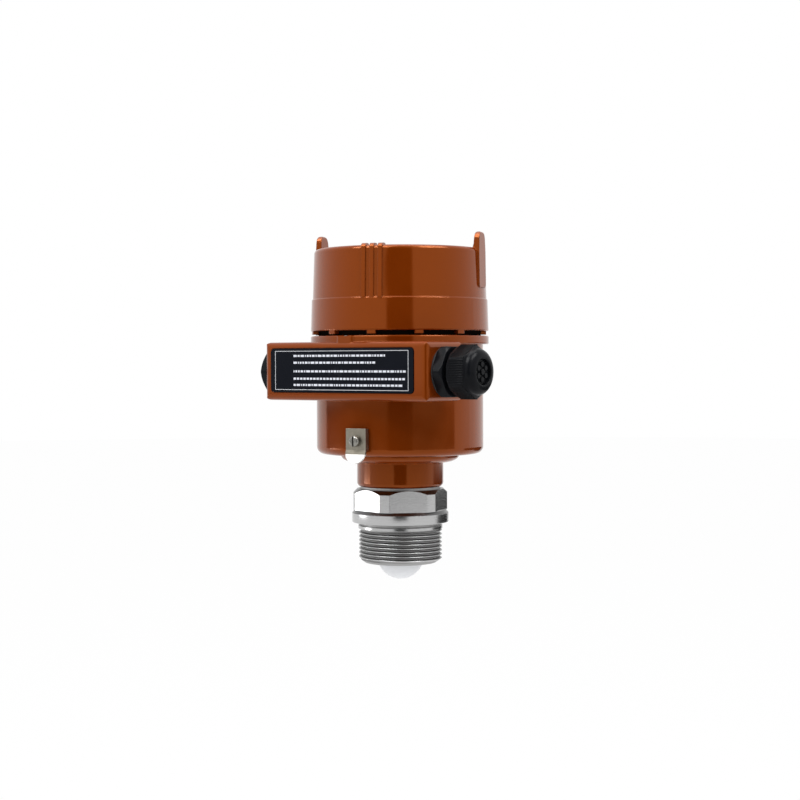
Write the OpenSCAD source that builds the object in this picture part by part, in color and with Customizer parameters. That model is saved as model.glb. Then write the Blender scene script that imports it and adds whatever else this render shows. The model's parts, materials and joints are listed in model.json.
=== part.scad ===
// Radar level transmitter with a painted cast housing and a threaded process connection.
// Millimetres, +Z up. The origin lies on the thread's axis, in the flange's sealing face.
// The spigot and the lens point down, the cable beam lies along X on the -Y side.
// Azimuths are degrees from -Y towards +X.

/* [Process connection] */
// Outside diameter of the process thread
thread_d = 47.8; // [42:0.1:60]
// Length of the spigot below the sealing face
spigot_len = 23.2; // [18:0.1:36]
// Length of the plain relief between the sealing face and the thread
relief_len = 4.6; // [3.5:0.1:8]
// Radial depth of the thread, used for the relief groove
thread_depth = 1.5; // [1:0.1:2.5]
// Diameter of the sealing flange
flange_d = 55.4; // [52:0.1:75]
// Height of the sealing flange, up to the hexagon
flange_h = 7; // [4:0.1:14]
// Size of the hexagon across its flats
hex_af = 49.6; // [47:0.1:62]
// Height of the hexagon
hex_h = 12.2; // [8:0.1:24]
// Azimuth that one of the hexagon's flats faces
hex_az = 46.6; // [0:0.1:60]
// Diameter that the hexagon's corners are turned to
hex_corner_d = 54.1; // [52:0.1:70]
// Height of the turned ring that the neck sits on
ring_h = 1.3; // [0.8:0.1:4]
// Diameter of the stub that screws into the housing's neck
stub_d = 42; // [40:0.1:44]
// Length of that stub
stub_len = 15.5; // [10:0.1:20]
// Diameter of the bore that holds the horn and the lens
core_d = 35; // [32:0.1:36]

/* [Lens and antenna] */
// Radius of the lens dome
dome_r = 13.5; // [10:0.1:15]
// Distance from the spigot's end to the lens tip
dome_drop = 9.8; // [6:0.1:12]
// Thickness of the lens's clamped rim
rim_h = 5; // [3.5:0.1:8]
// Height of the horn block
horn_h = 31; // [24:0.1:34]
// Diameter of the waveguide in the horn's throat
guide_d = 3.2; // [2:0.1:5]

/* [Housing] */
// Diameter of the neck
neck_d = 49.6; // [47:0.1:56]
// Height of the neck
neck_h = 13.9; // [10:0.1:30]
// Diameter of the shoulder under the body
shoulder_d = 68; // [58:0.1:80]
// Height of the shoulder
shoulder_h = 5.1; // [4:0.1:12]
// Diameter of the body
body_d = 95.6; // [92:0.1:116]
// Height of the body, from the shoulder to the collar
body_h = 62.2; // [58:0.1:90]
// Thickness of the body's wall
wall = 5.8; // [4:0.1:6]
// Thickness of the body's floor
floor_h = 5.5; // [4:0.1:8]
// How far the collar stands out from the body
collar_step = 3.2; // [1.5:0.1:6]
// Height of the collar
collar_h = 4.8; // [3:0.1:8]
// Wall of the threaded rim around the compartment
rim_wall = 4.5; // [3.5:0.1:6]
// Height of that neck above the collar
rim_len = 15.5; // [13:0.1:24]

/* [Cable beam] */
// Length of the beam along X
beam_l = 112.8; // [104:0.1:140]
// Height of the beam
beam_h = 32.6; // [28:0.1:36]
// Distance of the beam's front face from the axis
beam_front = 53.3; // [50:0.1:66]
// Distance of the beam's rear face from the axis
beam_rear = 19; // [10:0.1:24]
// Height by which the beam's top reaches past the collar's underside
beam_lap = 1.3; // [0:0.1:2.5]
// Edge radius of the beam
beam_r = 3.3; // [1:0.1:5]
// Distance of the cable entries' axis from the housing's axis
entry_y = 36; // [34:0.1:40]
// Height of the cable entries' axis above the beam's underside
entry_rise = 16; // [14:0.1:19]
// Thread diameter of the cable entries
entry_d = 20; // [16:0.1:20.5]
// Depth of the cable entries
entry_depth = 38; // [30:0.1:44]

/* [Cap] */
// Wall of the cap outside the threaded rim, at its foot
cap_wall = 4.4; // [3.9:0.1:8]
// Height of the cap, from its rim to its top
cap_h = 46.7; // [36:0.1:70]
// Thickness of the cap's top
cap_top = 4.6; // [3:0.1:8]
// Gap between the collar and the cap's rim
cap_gap = 2.7; // [2.4:0.1:6]
// Height of the lower, wider band of the cap
band_h = 18.2; // [14:0.1:26]
// Depth of the step above that band
band_step = 0.6; // [0.4:0.1:1.5]
// Radius that the cap's side loses from its rim to its top, as draft
cap_draft = 1.4; // [0.4:0.1:2]
// Number of teeth under the cap's rim
tooth_count = 12; // [6:1:24]
// Width of a tooth
tooth_w = 4.8; // [3:0.1:6]
// Height of a tooth
tooth_h = 1.9; // [1:0.1:2]
// Azimuth of the middle rib
rib_az = 18; // [0:0.5:45]
// Width of a rib
rib_w = 2.5; // [1.5:0.1:3.5]
// Distance between ribs
rib_pitch = 4.8; // [4:0.1:8]
// Width of a cap lug
lug_w = 11.4; // [6:0.1:14]
// Radial thickness of a cap lug
lug_t = 3.3; // [2.5:0.1:6]
// Height of a lug above the cap's top
lug_rise = 9.1; // [5:0.1:16]
// Azimuth of the first lug
lug_az = 105; // [95:0.5:130]

/* [Label and lock screw] */
// Length of the label plate
label_l = 99; // [60:0.1:100]
// Height of the label plate
label_h = 24.4; // [14:0.1:25]
// Distance of the label's centre from the beam's middle, towards the blanking plug
label_shift = 1.8; // [0:0.1:2]
// Height of the label's centre above the beam's middle
label_lift = 0.5; // [0:0.1:0.6]
// Thickness of the label plate
label_t = 0.8; // [0.5:0.1:1.5]
// Depth of the label's pocket
pocket_depth = 0.5; // [0.3:0.1:1]
// Diameter of the cap's lock screw
lock_d = 4; // [3:0.1:4.5]
// Length of the cap's lock screw
lock_len = 8; // [6:0.1:12]
// Width of the boss around the lock screw
boss_w = 12; // [9:0.1:16]
// Distance by which that boss stands out from the collar
boss_rise = 1.2; // [1:0.1:3]

/* [Cable gland] */
// Size of the gland's base hexagon across its flats
gland_af = 27; // [24:0.1:29]
// Size of the gland's nut across its flats
nut_af = 25.6; // [24:0.1:28]
// Height of the gland's base hexagon
base_h = 6; // [4:0.1:10]
// Gap between that hexagon and the gland's nut
nut_gap = 1.9; // [0.5:0.1:4]
// Length of the gland's nut
nut_l = 15.7; // [14:0.1:24]
// Length of the nut's domed end
nut_dome_l = 7.6; // [5:0.1:9]
// Length of the gland's thread in the housing
gland_thread_l = 11; // [8:0.1:16]
// Bore of the gland
gland_bore = 13.4; // [11:0.1:15]
// Thickness of the washers under the gland and under the blanking plug
washer_h = 1; // [0.8:0.1:2.5]
// Size of the blanking plug's hexagon across its flats
plug_af = 24; // [22.5:0.1:27]
// Height of the blanking plug's hexagon
plug_h = 6.4; // [4:0.1:9]
// Length of the blanking plug's thread
plug_thread_l = 9; // [7:0.1:14]

/* [Earth terminal] */
// Azimuth of the earth terminal
earth_az = 8; // [0:0.5:20]
// Height of the earth screw above the sealing face
earth_z = 48.6; // [47:0.1:60]
// Width of the earth clamp
clamp_w = 12.4; // [10:0.1:16]
// Height of the clamp's flat part
clamp_h = 11.6; // [10:0.1:16]
// Height of the flat part's centre above the screw
clamp_rise = 1; // [0:0.1:2]
// Depth of the clamp's folded sides
clamp_fold = 2.3; // [1:0.1:2.6]
// Sheet thickness of the clamp
clamp_t = 1.2; // [0.8:0.1:2]
// Length of the straight part of the clamp's flared tab
tab_stem = 1.5; // [0.5:0.1:6]
// Angle of the flared tab
tab_angle = 17; // [10:1:60]
// Thread diameter of the earth screw
earth_d = 3; // [2.5:0.1:4]

/* [Electronics] */
// Outside diameter of the electronics cup
cup_d = 63; // [56:0.1:64]
// Height of the electronics cup
cup_h = 24; // [20:0.1:30]
// Wall thickness of the electronics cup
cup_wall = 1.8; // [1.2:0.1:2.5]
// Thickness of a circuit board
board_t = 1.6; // [1:0.1:2]
// Diameter of the main board
board_d = 46; // [40:0.1:47]
// Number of wire places in the terminal block
way_count = 4; // [2:1:6]
// Distance between wire places
way_pitch = 7.6; // [6:0.1:8]
// Diameter of the terminal screws
clamp_screw_d = 4; // [3:0.1:4.5]

/* [Clearances] */
// Radial clearance of threads that turn
thread_fit = 0.08; // [0.02:0.01:0.1]
// Clearance of pieces that stay where they are
seat_fit = 0.05; // [0.02:0.01:0.2]
// Clearance of loose pieces that move past each other
free_gap = 0.3; // [0.2:0.05:0.6]

/* [Hidden] */
$fn = 96;
edge_fn = 6;
eps = 0.01;
z_hex = flange_h;
z_ring = z_hex + hex_h;
z_neck = z_ring + ring_h;
z_shoulder = z_neck + neck_h;
z_body = z_shoulder + shoulder_h;
z_floor = z_body + floor_h;
z_collar = z_body + body_h;
z_rim = z_collar + collar_h;
z_mouth = z_rim + rim_len;
z_cap = z_rim + cap_gap;
z_cap_top = z_cap + cap_h;
z_step = z_cap + band_h;
z_beam_top = z_collar + beam_lap;
z_beam = z_beam_top - beam_h;
beam_mid = z_beam + beam_h / 2;
entry_z = z_beam + entry_rise;
label_z = beam_mid + label_lift;
label_r = 2;
beam_end = beam_l / 2;
cavity_r = body_d / 2 - wall;
rim_d = 2 * (cavity_r + rim_wall);
cap_d = rim_d + 2 * cap_wall;
collar_d = body_d + 2 * collar_step;
core_r = core_d / 2;
stub_r = stub_d / 2;
neck_bore_r = stub_r + seat_fit;
floor_hole_r = stub_r - 5;
relief_r = thread_d / 2 - thread_depth;
land_r = thread_d / 2 + 0.3;
cord_w = 1.75;
relief_w = 1;
lead_in_w = 3.4;
lead_in_l = 2.4;
flange_edge = 0.5;
flange_bevel = 1.4;
ring_step = 0.6;
cord_groove_z = z_neck + 5;
cord_groove_w = cord_w + 0.5;
lip_z = -spigot_len + 7.2;
lip_r = dome_r + seat_fit;
lens_groove_z = lip_z + 1.4;
lens_groove_top = lens_groove_z + cord_w + 0.3;
lens_hollow_r = 42.5;
lens_hollow_at = 40;
horn_z = lip_z + rim_h;
horn_top = horn_z + horn_h;
guide_len = 8;
horn_ring_w = 4;
horn_ring_h = 4;
cup_z = z_floor + 2;
cup_top = cup_z + cup_h;
cup_top_t = 2;
pillar_r = 3.2;
pillar_at = cup_d / 2 - cup_wall - pillar_r + 0.6;
pillar_az = [60, 180, 300];
post_at = board_d / 2 - 4.5;
post_az = [0, 120, 240];
board_z = cup_z + 9;
module_screw_d = 3;
board_screw_d = 2.4;
block_w = way_count * way_pitch + 4;
block_d = 13;
block_h = 13;
boss_reach = collar_d / 2 + boss_rise;
boss_root = cavity_r - 6;
neck_edge = 2;
shoulder_edge = 8;
body_edge = 4;
collar_edge = 0.8;
rim_bevel = 1;
lock_at = (cap_d / 2 + rim_d / 2) / 2 + 0.2;
rib_rise = 0.6;
lug_r = 1.4;
lug_foot = 6;
lug_proud = 0.9;
bore_r = rim_d / 2 + free_gap;
o_ring_w = 2.4;
o_ring_z = z_cap + 1.4;
o_groove_r = rim_d / 2 + thread_fit + o_ring_w + thread_fit;
gland_r = entry_d / 2;
gland_face = washer_h;
gland_nut_x = gland_face + base_h + nut_gap;
gland_neck_l = nut_gap + 6.6;
seal_x = gland_nut_x + 1.4;
seal_l = 9.8;
seal_r = gland_r - 1.1;
wire_r = gland_bore / 2 - 1;
nut_bore_r = gland_r + thread_fit;
nut_hole_r = gland_bore / 2 + 0.3;
nut_lobe = 1.9;
earth_boss_r = 5;
earth_boss_h = 2.8;
clamp_at = body_d / 2 + earth_boss_h;
clamp_face = clamp_at + clamp_t;
spring_t = 1;
earth_head_h = 2.4;
earth_head_r = earth_d / 2 + 1.6;
inner_earth_at = cup_d / 2 + 5.5;
inner_earth_top = cup_top + 3;
inner_earth_post_r = 4.5;

// Points of an arc from angle a0 to a1, with the radii rx and ry
function arc(x, y, rx, ry, a0, a1, n = edge_fn) =
    [for (i = [0:n]) let (a = a0 + (a1 - a0) * i / n) [x + rx * cos(a), y + ry * sin(a)]];

// Outline of a rectangle about the origin with round corners
function round_box(w, h, r) = concat(
    arc(w / 2 - r, h / 2 - r, r, r, 0, 90),
    arc(r - w / 2, h / 2 - r, r, r, 90, 180),
    arc(r - w / 2, r - h / 2, r, r, 180, 270),
    arc(w / 2 - r, r - h / 2, r, r, 270, 360));

// Turns children that face -Y to an azimuth
module at_azimuth(az) {
    rotate([0, 0, az]) children();
}

// Puts children that point up on an entry's axis, pointing out along +X
module on_entry(x) {
    translate([beam_end + x, -entry_y, entry_z]) rotate([0, 90, 0]) children();
}

// Puts children that point up at an azimuth and height, pointing outwards
module outwards(az, reach, z) {
    at_azimuth(az) translate([0, -reach, z]) rotate([90, 0, 0]) children();
}

// Straight prism with the given size across its flats, a corner on +X
module hexagon(af, h) {
    cylinder(d = af / cos(30), h = h, $fn = 6);
}

// Ring with a square section
module tube(outer, inner, h) {
    difference() {
        cylinder(r = outer, h = h);
        translate([0, 0, -1]) cylinder(r = inner, h = h + 2);
    }
}

// Round cord bent into a ring
module cord_ring(r, w) {
    rotate_extrude() translate([r, 0]) circle(d = w, $fn = 24);
}

module process_connection() color("lightsteelblue") difference() {
    union() {
        rotate_extrude() polygon(concat(
            [[0, -spigot_len], [thread_d / 2 - lead_in_w, -spigot_len],
            [thread_d / 2, lead_in_l - spigot_len],
            [thread_d / 2, -relief_len], [relief_r, -relief_len], [relief_r, relief_w - relief_len],
            [land_r, relief_w - relief_len], [land_r, 0]],
            arc(flange_d / 2 - flange_edge, flange_edge, flange_edge, flange_edge, 270, 360, 3),
            [[flange_d / 2, flange_h - flange_bevel * 1.2], [flange_d / 2 - flange_bevel, flange_h],
            [0, flange_h]]));
        intersection() {
            translate([0, 0, z_hex - eps]) rotate([0, 0, hex_az]) hexagon(hex_af, hex_h + eps);
            rotate_extrude() polygon([[0, z_hex - 1], [hex_corner_d / 2, z_hex - 1],
                [hex_corner_d / 2, z_ring - (hex_corner_d - hex_af) / 2], [hex_af / 2, z_ring],
                [0, z_ring]]);
        }
        translate([0, 0, z_ring - 1]) cylinder(r = neck_d / 2 - ring_step, h = ring_h + 1);
        translate([0, 0, z_neck - 1]) cylinder(r = stub_r, h = stub_len + 1);
    }
    translate([0, 0, lip_z]) cylinder(r = core_r, h = z_neck + stub_len - lip_z + 1);
    translate([0, 0, -spigot_len - 1]) cylinder(r = lip_r, h = spigot_len + lip_z + 2);
    translate([0, 0, cord_groove_z]) tube(stub_r + 1, stub_r - cord_w + 0.1, cord_groove_w);
}

module antenna_lens() color("whitesmoke") difference() {
    rotate_extrude() polygon(concat(
        [[0, -spigot_len - dome_drop]],
        arc(0, dome_r - spigot_len - dome_drop, dome_r, dome_r, -90, 0, 24),
        [[dome_r, lip_z], [core_r - seat_fit, lip_z], [core_r - seat_fit, lens_groove_z],
        [core_r - cord_w, lens_groove_z], [core_r - cord_w, lens_groove_top],
        [core_r - seat_fit, lens_groove_top], [core_r - seat_fit, horn_z], [0, horn_z]]));
    translate([0, 0, horn_z + lens_hollow_at]) sphere(r = lens_hollow_r);
}

module lens_seal() color("black") translate([0, 0, (lens_groove_z + lens_groove_top) / 2])
    cord_ring(core_r - cord_w / 2 - seat_fit / 2, cord_w - seat_fit * 2);

module horn() color("silver") difference() {
    translate([0, 0, horn_z]) cylinder(r = core_r - seat_fit, h = horn_h);
    translate([0, 0, horn_z - 1]) cylinder(d = guide_d, h = horn_h + 2);
    translate([0, 0, horn_z - eps])
        cylinder(r1 = dome_r, r2 = guide_d / 2, h = horn_h - guide_len);
}

module horn_ring() color("silver") translate([0, 0, horn_top])
    tube(core_r - seat_fit, core_r - horn_ring_w, horn_ring_h);

module radar_board() color("seagreen") translate([0, 0, horn_top])
    cylinder(r = core_r - horn_ring_w - free_gap, h = board_t);

module radar_chip() color("dimgray") translate([0, 0, horn_top + board_t]) {
    translate([-4, -4, 0]) cube([8, 8, 1.2]);
    translate([-3.6, 6.5, 0]) cube([7.2, 3, 2]);
}

module connection_seal() color("black")
    translate([0, 0, cord_groove_z + cord_groove_w / 2])
    cord_ring(neck_bore_r - cord_w / 2, cord_w - seat_fit * 2);

// Outside of the casting as turned about the axis, without the beam
module housing_body() {
    rotate_extrude() polygon(concat(
        [[0, z_neck], [neck_d / 2 - neck_edge, z_neck]],
        arc(neck_d / 2 - neck_edge, z_neck + neck_edge * 1.2, neck_edge, neck_edge * 1.2, 270, 360),
        [[neck_d / 2, z_shoulder], [shoulder_d / 2 - shoulder_edge, z_shoulder]],
        arc(shoulder_d / 2 - shoulder_edge, z_shoulder + shoulder_edge / 2,
            shoulder_edge, shoulder_edge / 2, 270, 360),
        [[shoulder_d / 2, z_body]],
        arc(body_d / 2 - body_edge, z_body + body_edge, body_edge, body_edge, 270, 360),
        [[body_d / 2, z_collar]],
        arc(collar_d / 2 - collar_edge, z_collar + collar_edge, collar_edge, collar_edge, 270, 360, 3),
        arc(collar_d / 2 - collar_edge, z_rim - collar_edge, collar_edge, collar_edge, 0, 90, 3),
        [[rim_d / 2, z_rim], [rim_d / 2, z_mouth - rim_bevel], [rim_d / 2 - rim_bevel, z_mouth],
        [0, z_mouth]]));
}

// Beam along X with both cable entries, all its edges rounded
module housing_beam() {
    depth = beam_front - beam_rear;
    mid_y = -(beam_front + beam_rear) / 2;
    intersection() {
        translate([0, mid_y, beam_mid]) rotate([90, 0, 90])
            linear_extrude(beam_l, center = true) polygon(round_box(depth, beam_h, beam_r));
        translate([0, mid_y, beam_mid])
            linear_extrude(beam_h, center = true) polygon(round_box(beam_l, depth, beam_r));
        translate([0, mid_y, beam_mid]) rotate([90, 0, 0])
            linear_extrude(depth, center = true) polygon(round_box(beam_l, beam_h, beam_r));
    }
}

module housing() color("sienna") difference() {
    union() {
        housing_body();
        housing_beam();
        // boss that takes the cap's lock screw
        translate([0, -(boss_reach + boss_root) / 2, z_collar - 1])
            linear_extrude(collar_h + 0.6)
            polygon(round_box(boss_w, boss_reach - boss_root, boss_rise + 1));
        // pad under the earth clamp
        outwards(earth_az, body_d / 2 - 3, earth_z)
            cylinder(r = earth_boss_r, h = earth_boss_h + 3);
    }
    difference() {
        translate([0, 0, z_floor]) cylinder(r = cavity_r, h = z_mouth - z_floor + 1);
        for (az = pillar_az) at_azimuth(az) translate([0, -pillar_at, z_floor - 1])
            cylinder(r = pillar_r + 1, h = cup_z - z_floor + 1);
        translate([0, inner_earth_at, z_floor - 1]) {
            translate([-inner_earth_post_r, 0, 0])
                cube([2 * inner_earth_post_r, wall + cavity_r, inner_earth_top - z_floor + 1]);
            cylinder(r = inner_earth_post_r, h = inner_earth_top - z_floor + 1);
        }
    }
    translate([0, 0, z_neck - 1]) cylinder(r = neck_bore_r, h = stub_len + 1.5);
    translate([0, 0, z_neck]) cylinder(r = floor_hole_r, h = z_floor - z_neck + 1);
    on_entry(-entry_depth) cylinder(r = gland_r, h = entry_depth + 1);
    mirror([1, 0, 0]) on_entry(-entry_depth) cylinder(r = gland_r, h = entry_depth + 1);
    translate([0, -lock_at, z_rim - lock_len - 2.5])
        cylinder(r = lock_d / 2 + thread_fit, h = lock_len + 5);
    translate([-label_shift, pocket_depth - beam_front, label_z]) rotate([90, 0, 0])
        linear_extrude(3) polygon(round_box(label_l + 2 * free_gap, label_h + 2 * free_gap,
            label_r + free_gap));
    outwards(earth_az, body_d / 2 - 4, earth_z) cylinder(r = earth_d / 2 + thread_fit, h = 20);
    for (az = pillar_az) at_azimuth(az) translate([0, -pillar_at, cup_z - 5])
        cylinder(r = module_screw_d / 2 + seat_fit, h = 6);
    translate([0, inner_earth_at, inner_earth_top - 10]) cylinder(r = 2 + seat_fit, h = 11);
}

// Radius of the cap's side at a height, with its draft
function cap_r(z) = cap_d / 2 - cap_draft * (z - z_cap) / cap_h;

// Radius of the cap's side above the step
function upper_r(z) = cap_r(z) - band_step;

module cap() color("sienna") difference() {
    union() {
        difference() {
            rotate_extrude() polygon(concat(
                [[0, z_cap]], arc(cap_d / 2 - 0.6, z_cap + 0.6, 0.6, 0.6, 270, 360, 3),
                [[cap_r(z_step - 0.4), z_step - 0.4], [cap_r(z_step) - 0.3, z_step],
                [upper_r(z_step), z_step + 0.2]],
                arc(upper_r(z_cap_top) - 2.5, z_cap_top - 2.5, 2.5, 2.5, 0, 90),
                [[0, z_cap_top]]));
            translate([0, 0, z_cap - 1]) cylinder(r = bore_r, h = cap_h - cap_top + 1);
        }
        cap_teeth();
        for (side = [0, 180]) at_azimuth(rib_az + side) cap_ribs();
        for (side = [0, 180]) at_azimuth(lug_az + side) cap_lug();
    }
    translate([0, 0, o_ring_z]) cylinder(r = o_groove_r, h = o_ring_w + 0.2);
}

// Teeth under the rim that the lock screw stands between
module cap_teeth() {
    intersection() {
        translate([0, 0, z_cap - tooth_h]) tube(cap_d / 2 - 0.2, bore_r + 0.5, tooth_h + 0.5);
        for (i = [0:tooth_count - 1]) at_azimuth(rib_az + i * 360 / tooth_count)
            translate([-tooth_w / 2, -cap_d / 2 - 1, z_cap - tooth_h])
            cube([tooth_w, cap_d / 2, tooth_h + 0.5]);
    }
}

// Three ribs from the step up over the top edge
module cap_ribs() {
    foot = upper_r(z_step) + rib_rise;
    head = upper_r(z_cap_top) + rib_rise;
    for (i = [-1:1]) translate([i * rib_pitch - rib_w / 2, 0, 0]) rotate([90, 0, 90])
        linear_extrude(rib_w) polygon(concat(
            [[4 - foot, z_step - 2], [band_step - foot, z_step - 2], [-foot, z_step]],
            arc(2.6 - head, z_cap_top + 1 - 2.6, 2.6, 2.6, 180, 90),
            [[5.5 - head, z_cap_top + 1], [7.5 - head, z_cap_top - 0.5], [4 - head, z_cap_top - 6]]));
}

// Lug that a bar is laid against to turn the cap, a drafted tongue with a round top
module cap_lug() {
    top = z_cap_top + lug_rise;
    foot = z_step + lug_foot;
    face = upper_r(z_cap_top) + lug_proud;
    intersection() {
        translate([0, 12 - face, 0]) rotate([90, 0, 0]) linear_extrude(14) polygon(concat(
            arc(lug_w / 2 - 5, top - 5, 4.4, 5, 0, 90),
            arc(5 - lug_w / 2, top - 5, 4.4, 5, 90, 180),
            [[-lug_w / 2, z_cap_top - 2]],
            arc(2 - lug_w / 2, foot + 2, 2, 2, 180, 270, 3),
            arc(lug_w / 2 - 2, foot + 2, 2, 2, 270, 360, 3),
            [[lug_w / 2, z_cap_top - 2]]));
        rotate([90, 0, 90]) linear_extrude(lug_w + 2, center = true) polygon(concat(
            [[6 - face, foot - 1], [-face - 0.1, foot - 1], [-face - 0.4, foot + 2]],
            arc(lug_r - face, top - lug_r, lug_r, lug_r, 180, 90),
            arc(lug_t - 0.3 - lug_r - face, top - lug_r, lug_r, lug_r, 90, 0),
            [[lug_t - face, z_cap_top + 2], [lug_t + 0.6 - face, z_cap_top - 0.3],
            [6 - face, z_cap_top - 3]]));
    }
}

module cap_seal() color("black") translate([0, 0, o_ring_z + o_ring_w / 2 + 0.1])
    cord_ring(rim_d / 2 + thread_fit + o_ring_w / 2, o_ring_w);

module cap_lock_screw() color("dimgray") difference() {
    translate([0, -lock_at, z_rim - lock_len - 0.2]) cylinder(d = lock_d, h = lock_len);
    translate([0, -lock_at, z_rim - 2.7]) hexagon(2, 3);
}

module label_plate() color("black") translate([-label_shift, pocket_depth - beam_front, label_z])
    rotate([90, 0, 0]) linear_extrude(label_t) polygon(round_box(label_l, label_h, label_r));

module gland_washer() color("black") on_entry(0) tube(gland_af / 2 + 0.2, gland_r + seat_fit, washer_h);

module gland_body() color("black") on_entry(0) difference() {
    union() {
        translate([0, 0, -gland_thread_l])
            cylinder(r = gland_r - seat_fit, h = gland_thread_l + gland_face + 1);
        translate([0, 0, gland_face]) intersection() {
            rotate([0, 0, 30]) hexagon(gland_af, base_h);
            rotate_extrude() polygon([[0, 0], [gland_af / 2 + 0.6, 0], [gland_af / 2 + 1.8, 1.2],
                [gland_af / 2 + 1.8, base_h - 1.2], [gland_af / 2 + 0.4, base_h], [0, base_h]]);
        }
        translate([0, 0, gland_face + base_h - 1]) cylinder(r = gland_r, h = gland_neck_l + 1);
    }
    translate([0, 0, -gland_thread_l - 1]) cylinder(r = gland_bore / 2, h = 60);
    translate([0, 0, seal_x - 0.1]) cylinder(r = seal_r + thread_fit, h = 30);
}

module gland_seal() color("dimgray") on_entry(seal_x) difference() {
    union() {
        cylinder(r = seal_r, h = seal_l - 1.6);
        translate([0, 0, seal_l - 1.6]) cylinder(r1 = seal_r, r2 = seal_r - 1.2, h = 1.6);
    }
    translate([0, 0, -1]) cylinder(r = wire_r, h = seal_l + 2);
}

module gland_nut() color("black") on_entry(gland_nut_x) difference() {
    intersection() {
        hexagon(nut_af, nut_l);
        rotate_extrude() polygon(concat(
            [[0, 0], [nut_af / 2 + 0.2, 0], [nut_af / 2 + nut_lobe, 2]],
            arc(nut_hole_r + 0.7, nut_l - nut_dome_l, nut_af / 2 + nut_lobe - nut_hole_r - 0.7,
                nut_dome_l, 0, 90, 9),
            [[0, nut_l]]));
    }
    translate([0, 0, -1]) cylinder(r = nut_bore_r, h = nut_l - 4.2);
    translate([0, 0, nut_l - 5.2 - eps]) cylinder(r1 = nut_bore_r, r2 = nut_hole_r, h = 2);
    cylinder(r = nut_hole_r, h = nut_l + 1);
}

module gland_plug() color("dimgray") on_entry(0) {
    translate([0, 0, seal_x + 2])
        cylinder(r = wire_r - thread_fit, h = gland_nut_x + nut_l - 4 - seal_x);
    translate([0, 0, gland_nut_x + nut_l - 2.8]) cylinder(r = nut_hole_r - free_gap, h = 0.9);
    for (i = [0:5]) rotate([0, 0, i * 60]) translate([0, 0, gland_nut_x + nut_l - 2])
        linear_extrude(1.1) translate([nut_hole_r * 0.58, 0]) circle(d = 2.9);
    translate([0, 0, gland_nut_x + nut_l - 2]) cylinder(r = 1.6, h = 1.4);
}

module blind_plug() color("black") mirror([1, 0, 0]) on_entry(0) difference() {
    union() {
        translate([0, 0, -plug_thread_l])
            cylinder(r = gland_r - thread_fit, h = plug_thread_l + washer_h + 1);
        intersection() {
            translate([0, 0, washer_h]) rotate([0, 0, 30]) hexagon(plug_af, plug_h);
            translate([0, 0, washer_h]) rotate_extrude() polygon([[0, 0], [plug_af / 2 + 1.6, 0],
                [plug_af / 2 + 1.6, plug_h - 1.4], [plug_af / 2 - 0.6, plug_h], [0, plug_h]]);
        }
    }
    translate([0, 0, -plug_thread_l - 1]) cylinder(r = gland_r - 2.2, h = plug_thread_l);
}

module blind_plug_washer() color("black") mirror([1, 0, 0]) on_entry(0)
    tube(plug_af / 2 + 0.2, gland_r + thread_fit, washer_h);

// Sheet clamp folded to a channel, with a tab that flares away from the body
module earth_clamp() color("rosybrown") outwards(earth_az, clamp_at, earth_z) difference() {
    translate([0, clamp_rise, 0]) {
        translate([-clamp_w / 2, -clamp_h / 2, 0]) cube([clamp_w, clamp_h, clamp_t]);
        for (s = [-1, 1])
            translate([s * (clamp_w - clamp_t) / 2 - clamp_t / 2, -clamp_h / 2, -clamp_fold])
            cube([clamp_t, clamp_h, clamp_fold + clamp_t / 2]);
        translate([0, -clamp_h / 2, clamp_t]) rotate([-tab_angle, 0, 0])
            translate([0, 0, -clamp_t]) linear_extrude(clamp_t) polygon(concat([[clamp_w / 2, 0.4]],
            arc(0, -tab_stem, clamp_w / 2, clamp_w / 2, 0, -180, 16), [[-clamp_w / 2, 0.4]]));
    }
    translate([0, 0, -3]) cylinder(r = earth_d / 2 + 0.25, h = 8);
    translate([0, 0, -3]) cylinder(r = earth_boss_r + 0.1, h = 3);
}

// Split spring washer, its ends lifted apart by a narrow gap
module earth_spring_washer() color("silver") outwards(earth_az, clamp_face, earth_z) difference() {
    tube(earth_d / 2 + 1.5, earth_d / 2 + 0.15, spring_t);
    translate([0, 0, -1]) rotate([0, 0, 35]) translate([0, -0.35, 0]) cube([6, 0.7, 4]);
}

module earth_screw() color("silver") outwards(earth_az, clamp_face + spring_t, earth_z) difference() {
    union() {
        translate([0, 0, -clamp_t - spring_t - 5.4]) cylinder(d = earth_d, h = clamp_t + spring_t + 6);
        rotate_extrude() polygon(concat([[0, 0], [earth_head_r, 0]],
            arc(earth_head_r - 1.4, earth_head_h - 1.4, 1.4, 1.4, 0, 90), [[0, earth_head_h]]));
    }
    translate([-0.5, -5, earth_head_h - 1.3]) cube([1, 10, 2]);
}

module electronics_cup() color("darkslategray") difference() {
    union() {
        difference() {
            translate([0, 0, cup_z]) cylinder(d = cup_d, h = cup_h);
            translate([0, 0, cup_z - 1])
                cylinder(r = cup_d / 2 - cup_wall, h = cup_h - cup_top_t + 1);
        }
        for (az = pillar_az) at_azimuth(az) translate([0, -pillar_at, cup_z])
            cylinder(r = pillar_r, h = cup_h);
        for (az = post_az) at_azimuth(az) translate([0, -post_at, board_z + board_t])
            cylinder(r = 2.6, h = cup_top - board_z - board_t - 1);
    }
    for (az = pillar_az) at_azimuth(az) translate([0, -pillar_at, cup_z - 1])
        cylinder(r = module_screw_d / 2 + seat_fit, h = cup_h + 2);
    for (az = post_az) at_azimuth(az) translate([0, -post_at, board_z + board_t - 1])
        cylinder(r = board_screw_d / 2 + seat_fit, h = 7);
}

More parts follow.
